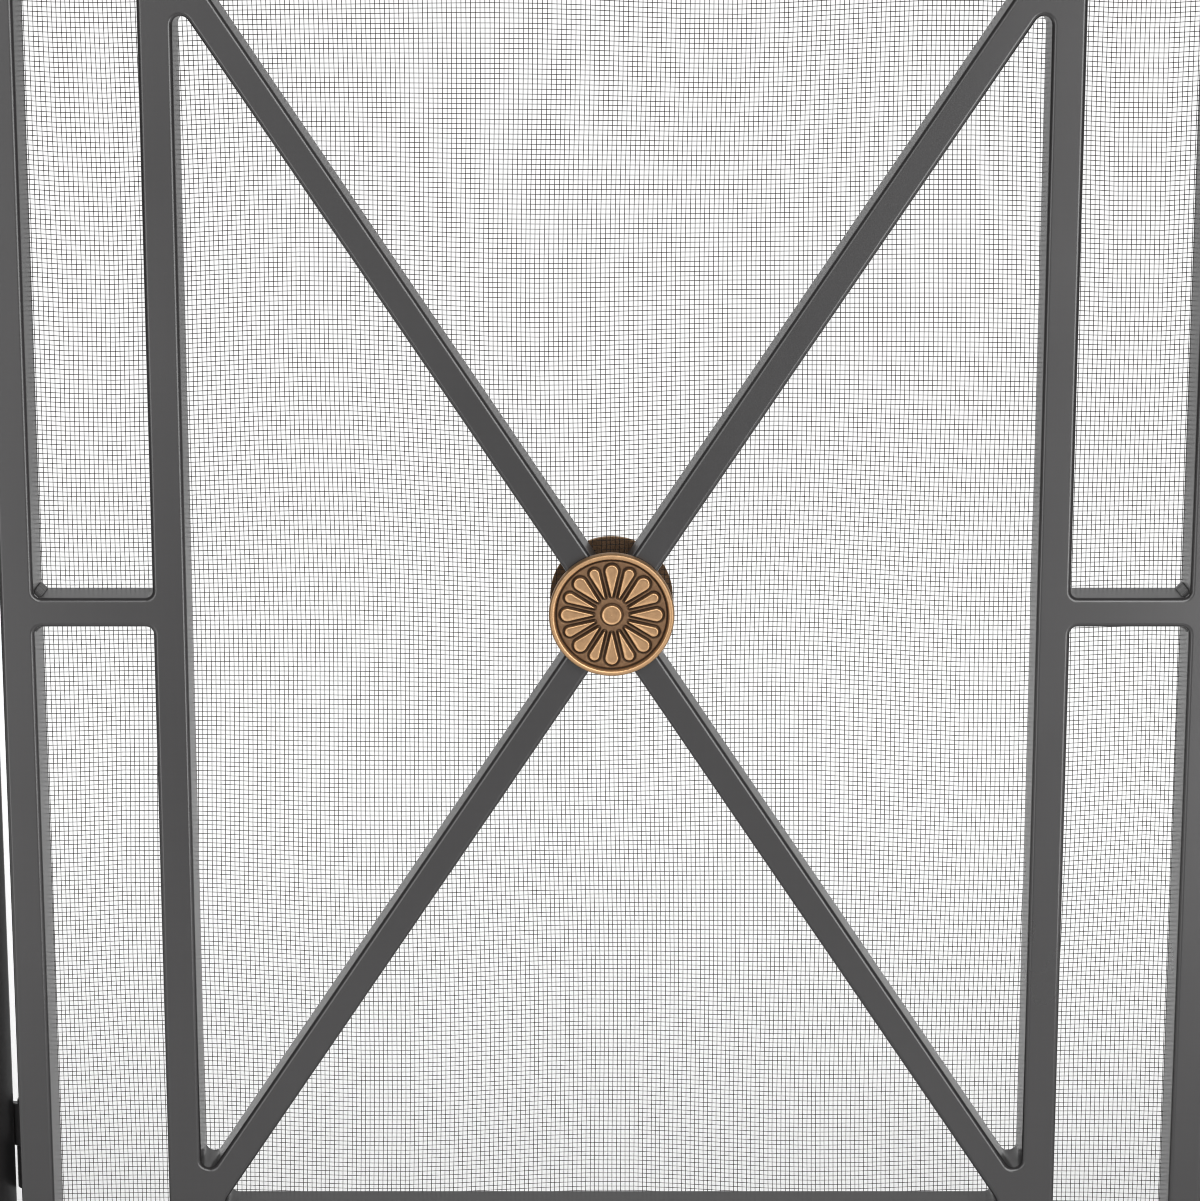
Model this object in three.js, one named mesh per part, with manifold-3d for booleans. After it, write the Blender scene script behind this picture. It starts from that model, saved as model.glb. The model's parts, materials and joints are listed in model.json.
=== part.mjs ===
// Three-panel folding fireplace screen: a centre panel with a double border and a cross,
// two narrower wings on barrel hinges, and woven wire cloth behind all the bars.
// Millimetres, +Z up, the front faces -Y. The origin is on the floor, under the middle.
import * as THREE from 'three';
import { mergeVertices } from 'three/addons/utils/BufferGeometryUtils.js';
import Module from 'manifold-3d';

const wasm = await Module();
wasm.setup();

// ---- Driving dimensions ---------------------------------------------------------------

// Openings and overall layout.
const openingWidth = 400;       // clear width that the centre cross spans
const openingHeight = 600;      // clear height that every cross spans
const borderGap = 56;           // clear width of the border bays
const wingOpeningWidth = 218;   // clear width between a wing's two stiles
const wingFold = 30;            // degrees that the wings stand back at rest

// Rectangular steel tube, welded flush at the front and the back.
const frameBarWidth = 16;       // outer frames and inner frame
const crossBarWidth = 14;       // crosses and ties
const barDepth = 25;
const tubeWall = 1.2;
const tubeEdgeRadius = 1.5;
const weldGap = 0.3;            // left between welded pieces

// Woven wire cloth, held to the outer frame by a spot-welded frame of flat strip.
const clothThickness = 0.5;
const clothMargin = 7.5;        // from a panel's outer edge to the edge of its cloth
const stripWidth = 8;
const stripThickness = 2;

// The pair of medallions at the crossing, on one threaded stud.
const medallionDiameter = 59;
const medallionThickness = 5;
const medallionRimWidth = 3.1;
const medallionRecess = 1.8;
const medallionBossDiameter = 10;
const studDiameter = 6;
const studEngagement = 2.8;     // depth of the stud in each medallion
const studClearance = 0.3;
const spacerDiameter = 24;
const spacerThickness = 6;

// Feet under the bottom rails.
const footDiameter = 20;
const footHeight = 12;
const footInset = 30;           // from a panel's outer edge to the middle of a foot
const footStemDiameter = 6;
const footStemLength = 7;
const footStemClearance = 0.3;

// Barrel hinges behind the gap between the outer stiles.
const hingeGap = 4;             // between the stiles of two panels that lie in one plane
const knuckleDiameter = 10;
const knuckleLength = 22;
const knuckleClearance = 0.3;   // between the two knuckles of a hinge
const leafThickness = 3;
const leafLap = 7;              // width of a leaf on the back of its stile
const hingeInset = 110;         // from a panel's top or bottom edge to the middle of a hinge
const pinDiameter = 5;
const pinClearance = 0.2;
const pinHeadDiameter = 8;

// ---- Sizes that follow from them ------------------------------------------------------

const panelHeight = openingHeight + 2 * (borderGap + 2 * frameBarWidth);
const centreWidth = openingWidth + 2 * (borderGap + 2 * frameBarWidth);
const wingWidth = wingOpeningWidth + 2 * frameBarWidth;
const middleHeight = footHeight + panelHeight / 2;
const clothBack = barDepth + weldGap + clothThickness;
const medallionBack = clothBack + 2 * weldGap + spacerThickness;
const hingeAxisDepth = barDepth + weldGap + knuckleDiameter / 2;

// ---- Materials ------------------------------------------------------------------------

function finish(color, roughness, metalness) {
  return new THREE.MeshStandardMaterial({ color, roughness, metalness });
}

const graphitePaint = finish(0x595759, 0.5, 0.4);
const blackWire = finish(0x2c2724, 0.6, 0.5);
const agedCopper = finish(0xa87c58, 0.4, 0.9);
const zincSteel = finish(0x9a9a98, 0.4, 0.9);
const blackRubber = finish(0x1c1c1c, 0.9, 0);

// ---- Solids: cutting, joining, naming -------------------------------------------------

function solidOf(geometry) {
  const bare = geometry.clone();
  bare.deleteAttribute('normal');
  bare.deleteAttribute('uv');
  const merged = mergeVertices(bare);
  return new wasm.Manifold(new wasm.Mesh({
    numProp: 3,
    vertProperties: merged.attributes.position.array,
    triVerts: Uint32Array.from(merged.index.array),
  }));
}

function geometryOf(solid) {
  const mesh = solid.getMesh();
  const geometry = new THREE.BufferGeometry();
  geometry.setAttribute('position', new THREE.BufferAttribute(mesh.vertProperties, 3));
  geometry.setIndex(new THREE.BufferAttribute(mesh.triVerts, 1));
  geometry.computeVertexNormals();
  return geometry;
}

function named(name, geometry, material, x = 0, y = 0, z = 0) {
  const mesh = new THREE.Mesh(geometry, material);
  mesh.name = name;
  mesh.position.set(x, y, z);
  return mesh;
}

// A box between two corners.
function block(x0, y0, z0, x1, y1, z1) {
  const box = new THREE.BoxGeometry(x1 - x0, y1 - y0, z1 - z0);
  return box.translate((x0 + x1) / 2, (y0 + y1) / 2, (z0 + z1) / 2);
}

// A round cutter or shaft along Y or Z, from start to end.
function shaft(diameter, along, start, end, sides = 24) {
  const rod = new THREE.CylinderGeometry(diameter / 2, diameter / 2, end - start, sides);
  rod.translate(0, (start + end) / 2, 0);
  return along === 'z' ? rod.rotateX(Math.PI / 2) : rod;
}

// ---- Tubes ----------------------------------------------------------------------------

function tubeSection(width) {
  const half = width / 2;
  const r = tubeEdgeRadius;
  const outline = new THREE.Shape();
  outline.moveTo(-half + r, 0);
  outline.lineTo(half - r, 0);
  outline.absarc(half - r, r, r, -Math.PI / 2, 0);
  outline.absarc(half - r, barDepth - r, r, 0, Math.PI / 2);
  outline.absarc(-half + r, barDepth - r, r, Math.PI / 2, Math.PI);
  outline.absarc(-half + r, r, r, Math.PI, 1.5 * Math.PI);
  const bore = new THREE.Path();
  bore.moveTo(-half + tubeWall, tubeWall);
  bore.lineTo(-half + tubeWall, barDepth - tubeWall);
  bore.lineTo(half - tubeWall, barDepth - tubeWall);
  bore.lineTo(half - tubeWall, tubeWall);
  outline.holes.push(bore);
  return outline;
}

// An upright tube centred on its length, its front at y = 0. A mitred end leans by its slope.
function tube(width, length, lowSlope = 0, highSlope = 0) {
  const options = { depth: length, bevelEnabled: false, curveSegments: 3 };
  const geometry = new THREE.ExtrudeGeometry(tubeSection(width), options);
  geometry.translate(0, 0, -length / 2);
  const points = geometry.attributes.position;
  for (let i = 0; i < points.count; i += 1) {
    const slope = points.getZ(i) > 0 ? highSlope : lowSlope;
    points.setZ(i, points.getZ(i) + slope * points.getX(i));
  }
  return geometry;
}

function stile(name, width, length, x, z) {
  return named(name, tube(width, length), graphitePaint, x, 0, z);
}

function rail(name, width, length, x, z) {
  return named(name, tube(width, length).rotateY(Math.PI / 2), graphitePaint, x, 0, z);
}

// The four mitred bars round a panel. The bottom rail has a hole at each of footPlaces.
function outerFrame(prefix, names, panelWidth, footPlaces) {
  const sideX = (panelWidth - frameBarWidth) / 2;
  const sideLength = panelHeight - frameBarWidth - 2 * weldGap;
  const railLength = panelWidth - frameBarWidth - 2 * weldGap;
  const railZ = (panelHeight - frameBarWidth) / 2;
  const left = tube(frameBarWidth, sideLength, 1, -1);
  const right = tube(frameBarWidth, sideLength, -1, 1);
  const top = tube(frameBarWidth, railLength, 1, -1).rotateY(Math.PI / 2);
  let bottom = solidOf(tube(frameBarWidth, railLength, -1, 1).rotateY(Math.PI / 2));
  for (const x of footPlaces) {
    const hole = shaft(footStemDiameter + 2 * footStemClearance, 'z', -frameBarWidth, 0);
    hole.translate(x, barDepth / 2, 0);
    bottom = bottom.subtract(solidOf(hole));
  }
  return [
    named(`${prefix}${names[0]}`, left, graphitePaint, -sideX, 0, middleHeight),
    named(`${prefix}${names[1]}`, right, graphitePaint, sideX, 0, middleHeight),
    named(`${prefix}frame_rail_top`, top, graphitePaint, 0, 0, middleHeight + railZ),
    named(`${prefix}frame_rail_bottom`, geometryOf(bottom), graphitePaint, 0, 0, middleHeight - railZ),
  ];
}

// A cross from corner to corner of an opening: one whole bar, and a second bar in two halves
// that butt against it. The centre cross is drilled for the stud.
function cross(prefix, width, height, drilled) {
  const lean = Math.atan2(width, height);
  const reach = Math.hypot(width, height) + 2 * crossBarWidth;
  const halfWidth = width / 2 - weldGap;
  const halfHeight = height / 2 - weldGap;
  const opening = solidOf(block(-halfWidth, -barDepth, -halfHeight, halfWidth, 2 * barDepth, halfHeight));
  let whole = solidOf(tube(crossBarWidth, reach).rotateY(-lean)).intersect(opening);
  if (drilled) {
    const hole = shaft(studDiameter + 2 * studClearance, 'y', -barDepth, 2 * barDepth);
    whole = whole.subtract(solidOf(hole));
  }
  const bars = [named(`${prefix}cross_bar_whole`, geometryOf(whole), graphitePaint, 0, 0, middleHeight)];
  for (const [half, side] of [['upper', 1], ['lower', -1]]) {
    const clear = crossBarWidth / 2 + weldGap;
    const beside = block(Math.min(side * clear, side * reach), -barDepth, -reach,
      Math.max(side * clear, side * reach), 2 * barDepth, reach);
    const bar = solidOf(tube(crossBarWidth, reach).rotateY(lean)).intersect(opening);
    const cut = bar.intersect(solidOf(beside.rotateY(-lean)));
    bars.push(named(`${prefix}cross_bar_${half}`, geometryOf(cut), graphitePaint, 0, 0, middleHeight));
  }
  return bars;
}

// ---- Wire cloth and the frame that holds it -------------------------------------------

function rectangle(path, halfWidth, halfHeight) {
  path.moveTo(-halfWidth, -halfHeight);
  path.lineTo(halfWidth, -halfHeight);
  path.lineTo(halfWidth, halfHeight);
  path.lineTo(-halfWidth, halfHeight);
  return path;
}

function cloth(name, panelWidth, holeDiameter) {
  const sheet = rectangle(new THREE.Shape(), panelWidth / 2 - clothMargin, panelHeight / 2 - clothMargin);
  if (holeDiameter > 0) {
    const hole = new THREE.Path();
    hole.absarc(0, 0, holeDiameter / 2, 0, 2 * Math.PI, true);
    sheet.holes.push(hole);
  }
  const geometry = new THREE.ExtrudeGeometry(sheet, { depth: clothThickness, bevelEnabled: false });
  geometry.rotateX(Math.PI / 2);
  return named(name, geometry, blackWire, 0, clothBack, middleHeight);
}

// A flat frame of strip behind the edge of the cloth.
function clothFrame(name, panelWidth) {
  const halfWidth = panelWidth / 2 - clothMargin;
  const halfHeight = panelHeight / 2 - clothMargin;
  const frame = rectangle(new THREE.Shape(), halfWidth, halfHeight);
  frame.holes.push(rectangle(new THREE.Path(), halfWidth - stripWidth, halfHeight - stripWidth));
  const geometry = new THREE.ExtrudeGeometry(frame, { depth: stripThickness, bevelEnabled: false });
  geometry.rotateX(Math.PI / 2);
  return named(name, geometry, graphitePaint, 0, clothBack + weldGap + stripThickness, middleHeight);
}

// ---- Medallions -----------------------------------------------------------------------

// A turned disc with a raised rim and boss, blind-bored at the back for the stud.
function medallion(name) {
  const r = medallionDiameter / 2;
  const t = medallionThickness;
  const floor = t - medallionRecess;
  const boss = medallionBossDiameter / 2;
  const bore = studDiameter / 2 + studClearance;
  const profile = [
    [0, studEngagement + studClearance], [bore, studEngagement + studClearance], [bore, 0],
    [r - 1, 0], [r, 1], [r, t - 1.4], [r - 0.5, t - 0.4], [r - medallionRimWidth / 2, t],
    [r - medallionRimWidth + 0.5, t - 0.4], [r - medallionRimWidth, floor],
    [boss + 0.4, floor], [boss, t - 0.8], [boss - 0.6, t - 0.5], [0, t - 0.5],
  ].map(([radius, height]) => new THREE.Vector2(radius, height));
  return named(name, new THREE.LatheGeometry(profile, 48), agedCopper);
}

function medallionSet() {
  const front = medallion('medallion_front');
  front.rotation.x = Math.PI;
  front.position.set(0, -weldGap, middleHeight);
  const rear = medallion('medallion_rear');
  rear.position.set(0, medallionBack, middleHeight);
  const studFront = -weldGap - studEngagement;
  const studBack = medallionBack + studEngagement;
  const stud = shaft(studDiameter, 'y', studFront, studBack);
  const bore = studDiameter / 2 + studClearance;
  const ring = [
    [bore, 0], [spacerDiameter / 2, 0], [spacerDiameter / 2, spacerThickness],
    [bore, spacerThickness], [bore, 0],
  ].map(([radius, height]) => new THREE.Vector2(radius, height));
  const spacer = new THREE.LatheGeometry(ring, 32);
  return [
    front, rear,
    named('medallion_stud', stud, zincSteel, 0, 0, middleHeight),
    named('medallion_spacer', spacer, graphitePaint, 0, clothBack + weldGap, middleHeight),
  ];
}

// ---- Feet -----------------------------------------------------------------------------

// A rubber foot with a stem that goes up into the bottom rail.
function foot(name, x) {
  const r = footDiameter / 2;
  const stem = footStemDiameter / 2;
  const top = footHeight - weldGap;
  const profile = [
    [0, 0], [r - 1, 0], [r, 1], [r - 1.5, top],
    [stem, top], [stem, top + footStemLength], [0, top + footStemLength],
  ].map(([radius, height]) => new THREE.Vector2(radius, height));
  const geometry = new THREE.LatheGeometry(profile, 24).rotateX(Math.PI / 2);
  return named(name, geometry, blackRubber, x, barDepth / 2, 0);
}

// ---- Hinges ---------------------------------------------------------------------------

// A barrel knuckle and its leaf, about the hinge axis. towards is +1 or -1, the way to its stile.
function knuckle(name, towards, low) {
  const barrel = solidOf(shaft(knuckleDiameter, 'z', low, low + knuckleLength));
  const reach = towards * (hingeGap / 2 + leafLap);
  const leaf = solidOf(block(Math.min(0, reach), -knuckleDiameter / 2, low,
    Math.max(0, reach), leafThickness - knuckleDiameter / 2, low + knuckleLength));
  const bore = solidOf(shaft(pinDiameter + 2 * pinClearance, 'z', low - 1, low + knuckleLength + 1));
  return named(name, geometryOf(barrel.add(leaf).subtract(bore)), graphitePaint);
}

// A headed pin, fixed in the lower knuckle. The head keeps the upper knuckle from lifting off.
function hingePin(name) {
  const r = pinDiameter / 2;
  const head = pinHeadDiameter / 2;
  const headLow = knuckleClearance / 2 + knuckleLength + knuckleClearance;
  const profile = [
    [0, -knuckleLength], [r - 0.5, -knuckleLength], [r, -knuckleLength + 0.5], [r, headLow],
    [head, headLow], [head, headLow + 1], [head * 0.7, headLow + 2.4], [0, headLow + 3],
  ].map(([radius, height]) => new THREE.Vector2(radius, height));
  return named(name, new THREE.LatheGeometry(profile, 24).rotateX(Math.PI / 2), zincSteel);
}

// ---- Panels ---------------------------------------------------------------------------

const hingeHeights = {
  upper: footHeight + panelHeight - hingeInset,
  lower: footHeight + hingeInset,
};

function centrePanel() {
  const panel = new THREE.Group();
  const stileX = (openingWidth + frameBarWidth) / 2;
  const railZ = (openingHeight + frameBarWidth) / 2;
  const tieX = openingWidth / 2 + frameBarWidth + borderGap / 2;
  const tieZ = openingHeight / 2 + frameBarWidth + borderGap / 2;
  const tieLength = borderGap - 2 * weldGap;
  const innerStileLength = openingHeight + 2 * frameBarWidth;
  const innerRailLength = openingWidth - 2 * weldGap;
  const footX = centreWidth / 2 - footInset;
  panel.add(
    ...outerFrame('', ['frame_stile_left', 'frame_stile_right'], centreWidth, [-footX, footX]),
    stile('inner_stile_left', frameBarWidth, innerStileLength, -stileX, middleHeight),
    stile('inner_stile_right', frameBarWidth, innerStileLength, stileX, middleHeight),
    rail('inner_rail_top', frameBarWidth, innerRailLength, 0, middleHeight + railZ),
    rail('inner_rail_bottom', frameBarWidth, innerRailLength, 0, middleHeight - railZ),
    rail('tie_left', crossBarWidth, tieLength, -tieX, middleHeight),
    rail('tie_right', crossBarWidth, tieLength, tieX, middleHeight),
    stile('tie_top', crossBarWidth, tieLength, 0, middleHeight + tieZ),
    stile('tie_bottom', crossBarWidth, tieLength, 0, middleHeight - tieZ),
    ...cross('', openingWidth, openingHeight, true),
    cloth('wire_cloth', centreWidth, studDiameter + 2 * studClearance),
    clothFrame('cloth_frame', centreWidth),
    ...medallionSet(),
    foot('foot_left', -footX),
    foot('foot_right', footX),
  );
  return panel;
}

// Everything that turns with a wing, about its hinge axis. side is +1 on the right, -1 on the left.
function wing(side, prefix) {
  const panel = new THREE.Group();
  const railZ = (openingHeight + frameBarWidth) / 2;
  const footX = side * (wingWidth / 2 - footInset);
  const innerRailLength = wingOpeningWidth - 2 * weldGap;
  const stiles = side > 0 ? ['stile_hinge', 'stile_free'] : ['stile_free', 'stile_hinge'];
  panel.add(
    ...outerFrame(prefix, stiles, wingWidth, [footX]),
    rail(`${prefix}inner_rail_top`, frameBarWidth, innerRailLength, 0, middleHeight + railZ),
    rail(`${prefix}inner_rail_bottom`, frameBarWidth, innerRailLength, 0, middleHeight - railZ),
    ...cross(prefix, wingOpeningWidth, openingHeight, false),
    cloth(`${prefix}wire_cloth`, wingWidth, 0),
    clothFrame(`${prefix}cloth_frame`, wingWidth),
    foot(`${prefix}foot`, footX),
  );
  panel.position.set(side * (hingeGap + wingWidth) / 2, -hingeAxisDepth, 0);
  const turned = new THREE.Group();
  turned.add(panel);
  for (const place of ['upper', 'lower']) {
    const half = knuckle(`${prefix}knuckle_${place}`, side, knuckleClearance / 2);
    half.position.z = hingeHeights[place];
    turned.add(half);
  }
  turned.rotation.z = side * THREE.MathUtils.degToRad(wingFold);
  return turned;
}

// The side of the centre panel that carries a wing: fixed knuckles, pins and the wing itself.
function hingedSide(side, word) {
  const group = new THREE.Group();
  for (const place of ['upper', 'lower']) {
    const half = knuckle(`knuckle_${word}_${place}`, -side, -knuckleLength - knuckleClearance / 2);
    const pin = hingePin(`hinge_pin_${word}_${place}`);
    half.position.z = hingeHeights[place];
    pin.position.z = hingeHeights[place];
    group.add(half, pin);
  }
  group.add(wing(side, `${word}_wing_`));
  group.position.set(side * (centreWidth + hingeGap) / 2, hingeAxisDepth, 0);
  return group;
}

const screen = new THREE.Group();
screen.add(centrePanel(), hingedSide(-1, 'left'), hingedSide(1, 'right'));

// The origin lies midway between the front medallion and the back of the wings.
const bounds = new THREE.Box3().setFromObject(screen);
screen.position.y = -(bounds.min.y + bounds.max.y) / 2;

export default screen;
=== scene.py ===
# Folding fireplace screen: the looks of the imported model, in metres and in its own frame.
import json
import math

import bpy
import numpy as np
from mathutils import Matrix, Vector
from mathutils.geometry import tessellate_polygon


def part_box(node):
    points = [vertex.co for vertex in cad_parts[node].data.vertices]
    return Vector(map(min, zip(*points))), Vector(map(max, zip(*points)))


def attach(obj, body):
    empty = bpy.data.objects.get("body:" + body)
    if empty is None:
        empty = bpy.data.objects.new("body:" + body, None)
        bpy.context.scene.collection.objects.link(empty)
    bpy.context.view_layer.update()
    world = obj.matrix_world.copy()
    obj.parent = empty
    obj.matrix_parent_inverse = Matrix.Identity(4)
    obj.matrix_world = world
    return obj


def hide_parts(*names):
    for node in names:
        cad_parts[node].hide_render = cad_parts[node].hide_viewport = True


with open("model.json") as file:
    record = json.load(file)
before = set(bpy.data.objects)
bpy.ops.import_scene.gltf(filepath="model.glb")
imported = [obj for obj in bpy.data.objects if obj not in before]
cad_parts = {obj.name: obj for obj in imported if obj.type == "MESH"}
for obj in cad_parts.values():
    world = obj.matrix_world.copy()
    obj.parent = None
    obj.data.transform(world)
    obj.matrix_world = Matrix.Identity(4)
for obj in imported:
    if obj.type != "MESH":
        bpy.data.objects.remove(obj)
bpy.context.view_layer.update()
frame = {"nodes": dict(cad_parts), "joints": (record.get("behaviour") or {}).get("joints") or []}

MM = 0.001


# ---- The studio: camera, floor and lights -----------------------------------------------
# A long lens looks slightly down on the middle of the centre panel. The floor and the background
# are nearly white. Big softboxes stand in front, to the left, to the right and above, the right
# one stronger than the left, and the sides are dark, so every edge shows a light and a dark line.

medallion_low, medallion_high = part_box("medallion_front")
target = (medallion_low + medallion_high) / 2
bars_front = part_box("tie_left")[0].y

eye_distance = 1.463  # from the front of the bars
eye_rise = 0.352  # above the middle of the medallion
eye_aside = -0.0055
eye_pitch = math.radians(11.15)
view_width = 0.565  # of the plane through the bars
view_shift = -0.10
sensor_width = 36  # in mm, as a camera gives it
axis_distance = eye_distance * math.cos(eye_pitch) + eye_rise * math.sin(eye_pitch)


def add_object(name, data):
    """An object with its data, in the scene."""
    made = bpy.data.objects.new(name, data)
    bpy.context.scene.collection.objects.link(made)
    return made


camera = add_object("camera", bpy.data.cameras.new("camera"))
camera.location = (target.x + eye_aside, bars_front - eye_distance, target.z + eye_rise)
camera.rotation_euler = (math.pi / 2 - eye_pitch, 0, 0)
camera.data.sensor_width = sensor_width
camera.data.lens = sensor_width * axis_distance / view_width
camera.data.shift_y = view_shift
camera.data.clip_start = 0.05
camera.data.clip_end = 100
bpy.context.scene.camera = camera
bpy.context.scene.view_settings.view_transform = "Standard"
bpy.context.scene.cycles.filter_width = 1.0

floor_half_width = 1.7
floor_front, floor_back = -0.7, 2.2
grey_end, white_end = -0.8, 0.9  # where the floor's paint stops changing
grey_share, white_share = 0.57, 0.91  # of the light that the paint gives back there
floor_mesh = bpy.data.meshes.new("floor")
floor_mesh.from_pydata(
    [(-floor_half_width, floor_front, 0), (floor_half_width, floor_front, 0),
     (floor_half_width, floor_back, 0), (-floor_half_width, floor_back, 0)], [], [(0, 1, 2, 3)])
floor = add_object("floor", floor_mesh)


def add_node(tree, kind, **settings):
    """A node with its settings and its unlinked inputs, each named with _ for a space."""
    node = tree.nodes.new(kind)
    for key, value in settings.items():
        socket = node.inputs.get(key.replace("_", " "))
        if socket is not None:
            socket.default_value = value
        else:
            setattr(node, key, value)
    return node


def join(tree, *links):
    """Links nodes of a tree. Each link is a node, its output, the next node and its input."""
    for source, output, target_node, socket in links:
        tree.links.new(source.outputs[output], target_node.inputs[socket])


def floor_paint():
    """White paint, greyer towards the lamps in front, so the lit floor is evenly bright."""
    material = bpy.data.materials.new("floor_paint")
    material.use_nodes = True
    tree = material.node_tree
    shader = tree.nodes["Principled BSDF"]
    shader.inputs["Roughness"].default_value = 0.9
    shader.inputs["Specular IOR Level"].default_value = 0
    place = add_node(tree, "ShaderNodeTexCoord")
    axes = add_node(tree, "ShaderNodeSeparateXYZ")
    white = add_node(
        tree, "ShaderNodeMapRange",
        From_Min=grey_end, From_Max=white_end, To_Min=grey_share, To_Max=white_share)
    join(tree, (place, "Object", axes, "Vector"), (axes, "Y", white, "Value"),
         (white, "Result", shader, "Base Color"))
    return material


floor_mesh.materials.append(floor_paint())

back_glow = 0.72
front_glow = 0.58
side_glow = 0.05


def math_node(tree, operation, *values, **settings):
    """A maths node, with the values for its second and third inputs."""
    node = add_node(tree, "ShaderNodeMath", operation=operation, **settings)
    for socket, value in zip(node.inputs[1:], values):
        socket.default_value = value
    return node


def studio_light():
    """White where the camera looks. What it lights gets a bright back, a softer front and dark sides."""
    world = bpy.data.worlds.new("studio")
    world.use_nodes = True
    tree = world.node_tree
    seen = tree.nodes["Background"]
    seen.inputs["Color"].default_value = (1, 1, 1, 1)
    place = add_node(tree, "ShaderNodeTexCoord")
    axes = add_node(tree, "ShaderNodeSeparateXYZ")
    back = add_node(tree, "ShaderNodeMapRange", From_Min=0.2, From_Max=0.7, To_Max=back_glow)
    front = add_node(tree, "ShaderNodeMapRange", From_Min=-0.55, From_Max=-0.95, To_Max=front_glow)
    both = math_node(tree, "ADD")
    total = math_node(tree, "ADD", side_glow)
    glow = add_node(tree, "ShaderNodeBackground", Color=(1, 1, 1, 1))
    ray = add_node(tree, "ShaderNodeLightPath")
    choice = add_node(tree, "ShaderNodeMixShader")
    join(tree, (place, "Generated", axes, "Vector"), (axes, "Y", back, "Value"),
         (axes, "Y", front, "Value"), (back, "Result", both, 0), (front, "Result", both, 1),
         (both, 0, total, 0), (total, 0, glow, "Strength"), (ray, "Is Camera Ray", choice, "Fac"),
         (glow, 0, choice, 1), (seen, 0, choice, 2),
         (choice, 0, tree.nodes["World Output"], "Surface"))
    return world


bpy.context.scene.world = studio_light()


def softbox(name, place, aim, width, height, power):
    """A rectangular lamp at place that points to aim."""
    lamp = bpy.data.lights.new(name, "AREA")
    lamp.shape = "RECTANGLE"
    lamp.size = width
    lamp.size_y = height
    lamp.energy = power
    holder = add_object(name, lamp)
    holder.location = place
    holder.rotation_euler = (Vector(aim) - Vector(place)).to_track_quat("-Z", "Y").to_euler()
    holder.visible_camera = False


# Each softbox: its name, its place, what it points to, its width and height, and its watts.
for box in (("strip_left", (-1.35, -2.1, 0.55), (0, 0, 0.5), 1.1, 2.4, 22),
            ("strip_right", (1.35, -2.1, 0.55), (0, 0, 0.5), 1.1, 2.4, 44),
            ("box_over_front", (0.3, -2.0, 1.85), (0, 0, 0.4), 1.8, 1.2, 36)):
    softbox(*box)

overhead_strength = 2.38
overhead_spread = math.radians(80)
overhead_tilt = math.radians(-12)

overhead = bpy.data.lights.new("overhead", "SUN")
overhead.energy = overhead_strength
overhead.angle = overhead_spread
overhead_holder = add_object("overhead", overhead)
overhead_holder.rotation_euler = (overhead_tilt, 0, 0)
overhead_holder.visible_glossy = False


# ---- Welded tube frames -----------------------------------------------------------------
# Each panel is rectangular steel tube with rounded edges, welded into one flat frame. The welds
# are ground flush, with small fillets left in the corners, and the frame is powder-coated.

tube_edge = 2.3 * MM
weld_fillet = 3.5 * MM
sharp_fillet = 4.0 * MM  # where two bars meet at a sharp angle
bar_corner = 2.4 * MM
edge_steps = 4
corner_step = math.radians(15)


def rounded(corners, radius):
    """A closed outline with rounded corners: its points, and its normals away from its inside.
    radius is one size, or one for each corner. Corners may go either way round."""
    if sum(a[0] * b[1] - b[0] * a[1] for a, b in zip(corners, corners[1:] + corners[:1])) < 0:
        corners = corners[::-1]
        radius = radius[::-1] if isinstance(radius, list) else radius
    points = []
    normals = []
    for i, corner in enumerate(corners):
        r = radius[i] if isinstance(radius, list) else radius
        here = np.array(corner, float)
        before = here - np.array(corners[i - 1], float)
        after = np.array(corners[(i + 1) % len(corners)], float) - here
        start = math.atan2(-before[0], before[1])
        turn = math.atan2(before[0] * after[1] - before[1] * after[0], before @ after)
        bend = 1 if turn > 0 else -1
        middle = start + turn / 2
        inward = bend * r / math.cos(turn / 2)
        centre = here - inward * np.array((math.cos(middle), math.sin(middle)))
        steps = max(2, round(abs(turn) / corner_step))
        for step in range(steps + 1):
            angle = start + turn * step / steps
            normal = np.array((math.cos(angle), math.sin(angle)))
            points.append(centre + bend * r * normal)
            normals.append(normal)
    return np.array(points), np.array(normals)


def slab(name, outline, holes, front, back, edge, turn):
    """A flat piece between front and back, in the plane of a panel, with all its edges rounded.
    outline and holes come from rounded(). turn moves it from the open screen to its place."""
    loops = [outline] + [(points[::-1], -normals[::-1]) for points, normals in holes]
    angles = [math.pi / 2 * step / edge_steps for step in range(edge_steps + 1)]
    profile = [(front + edge * (1 - math.sin(a)), edge * (1 - math.cos(a)), a, -1) for a in angles[::-1]]
    profile += [(back - edge * (1 - math.sin(a)), edge * (1 - math.cos(a)), a, 1) for a in angles]
    points = []
    normals = []
    faces = []
    rings = []
    for outer, away in loops:
        first = len(points)
        count = len(outer)
        for depth, inset, angle, side in profile:
            for spot, normal in zip(outer - inset * away, away):
                points.append((spot[0], depth, spot[1]))
                level = math.cos(angle)
                normals.append((normal[0] * level, side * math.sin(angle), normal[1] * level))
        for ring in range(len(profile) - 1):
            for i in range(count):
                low = first + ring * count + i
                next_low = first + ring * count + (i + 1) % count
                faces.append((low, low + count, next_low + count, next_low))
        rings.append((first, first + (len(profile) - 1) * count, count))
    for at_back in (0, 1):
        starts = [ring[at_back] for ring in rings]
        flat = [[Vector((points[s + i][0], points[s + i][2], 0)) for i in range(ring[2])]
                for s, ring in zip(starts, rings)]
        lookup = [s + i for s, ring in zip(starts, rings) for i in range(ring[2])]
        for a, b, c in tessellate_polygon(flat):
            pa, pb, pc = (points[lookup[k]] for k in (a, b, c))
            area = (pb[0] - pa[0]) * (pc[2] - pa[2]) - (pc[0] - pa[0]) * (pb[2] - pa[2])
            if (area > 0) == bool(at_back):
                a, c = c, a
            faces.append((lookup[a], lookup[b], lookup[c]))
    return piece(name, points, faces, normals, turn)


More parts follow.
